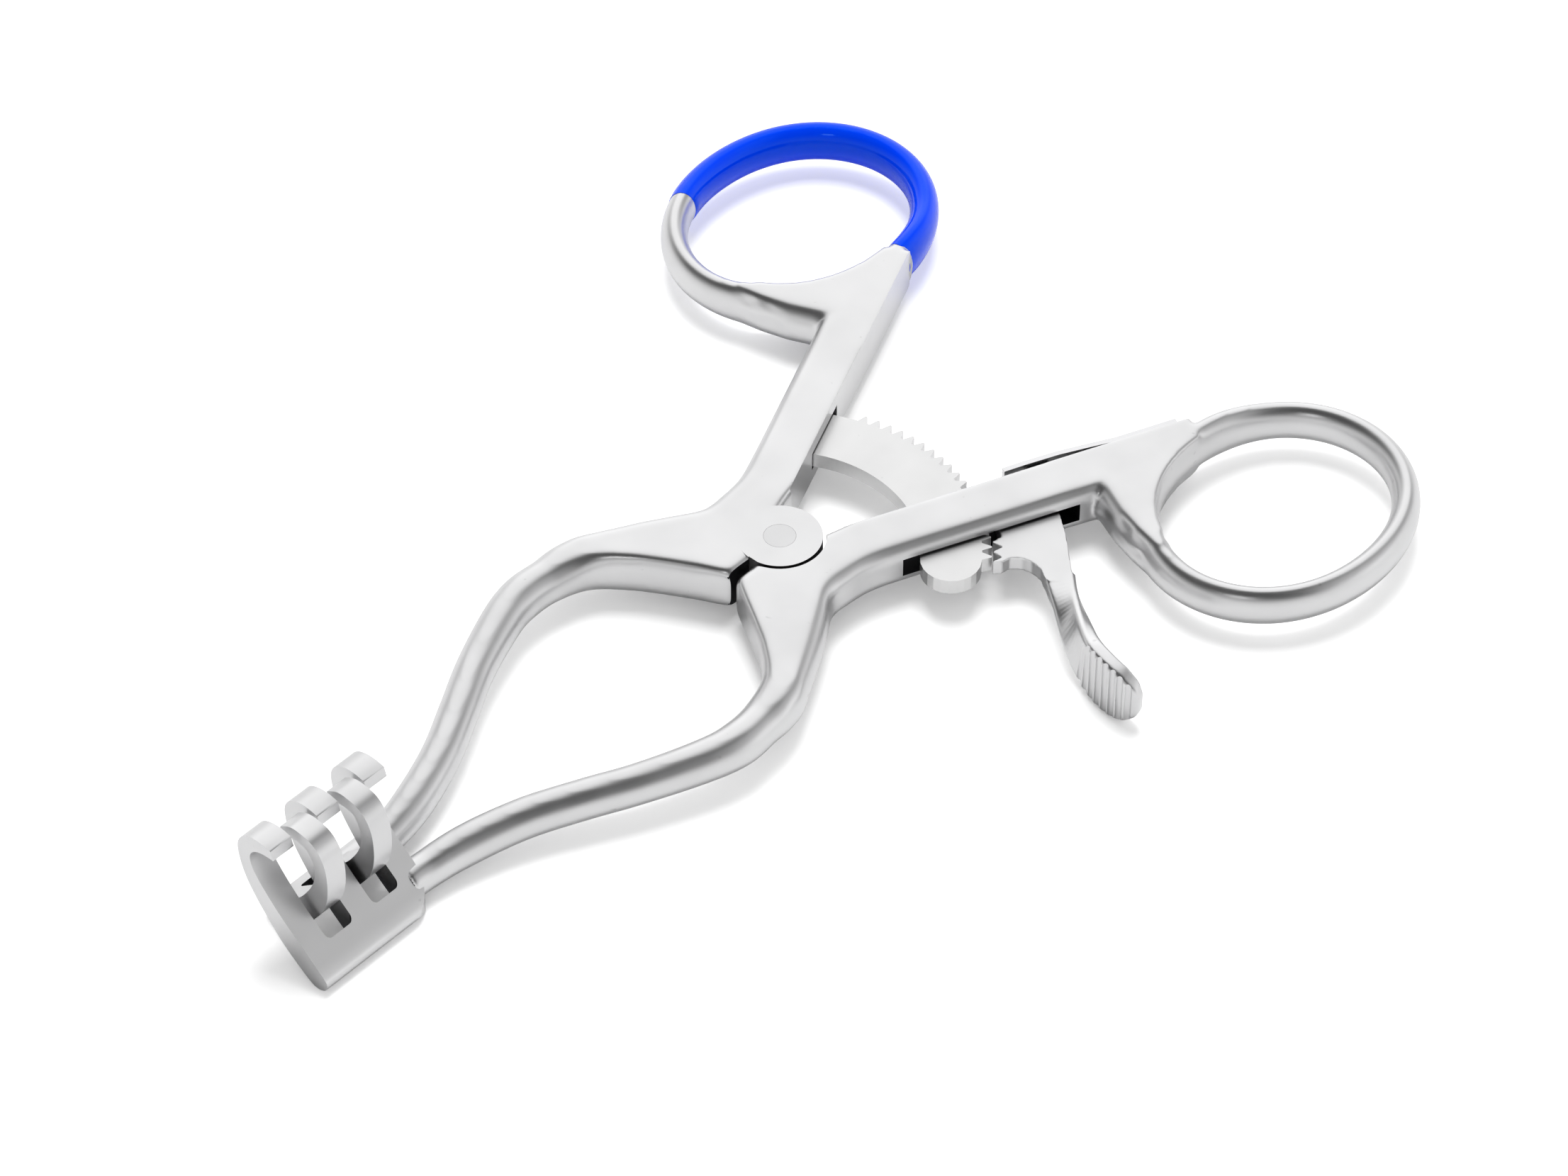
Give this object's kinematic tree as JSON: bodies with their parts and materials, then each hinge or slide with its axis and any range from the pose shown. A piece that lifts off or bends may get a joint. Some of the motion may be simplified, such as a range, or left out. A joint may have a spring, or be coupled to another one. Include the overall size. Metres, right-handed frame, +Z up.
{
  "type": "self retaining retractor",
  "caption": "Self retaining surgical retractor: two ring-handled arms in a lap joint, curved ratchet rack, sprung thumb pawl and interleaved hooked blades.",
  "frame": {"origin": "on the main pivot's axis, in the plane of the arms' flat underside", "axes": "+X along the instrument to the finger rings, +Y to the upper arm's side, +Z up, the way the blades' hooks point"},
  "size_m": [0.128, 0.0958, 0.0159],
  "materials": {
    "upper_arm": "satin bead-blasted",
    "ratchet_rack": "satin bead-blasted",
    "rack_rivet": "satin bead-blasted",
    "ring_coating": "gloss dipped coating",
    "lower_arm": "satin bead-blasted",
    "pivot_screw": "satin bead-blasted",
    "pawl_pin": "satin bead-blasted",
    "spring_screw": "satin bead-blasted",
    "pawl_lever": "satin bead-blasted",
    "leaf_spring": "satin bead-blasted"
  },
  "bodies": {
    "lower": {"lower_arm": "lower_arm", "pivot_screw": "pivot_screw", "pawl_pin": "pawl_pin", "spring_screw": "spring_screw"},
    "upper": {"upper_arm": "upper_arm", "ratchet_rack": "ratchet_rack", "rack_rivet": "rack_rivet", "ring_coating": "ring_coating"},
    "pawl": {"pawl_lever": "pawl_lever"},
    "spring": {"leaf_spring": "leaf_spring"}
  },
  "joints": [
    {"name": "main_pivot", "type": "hinge", "parent": "lower", "child": "upper", "pos_m": [0, 0, 0.0027], "axis": [0, 0, 1], "range_deg": [-40, 0]},
    {"name": "pawl_pivot", "type": "hinge", "parent": "lower", "child": "pawl", "pos_m": [0.02074, -0.01327, 0.0027], "axis": [0, 0, 1], "range_deg": [0, 10], "stiffness_Nm_per_rad": 0.02, "springref_deg": -2.86},
    {"name": "spring_flex", "type": "hinge", "parent": "lower", "child": "spring", "pos_m": [0.03827, -0.01731, 0.0027], "axis": [0, 0, 1], "range_deg": [-3.2, 0]}
  ],
  "couplings": [
    {"joint": "spring_flex", "follows": "pawl_pivot", "ratio": -0.3}
  ]
}
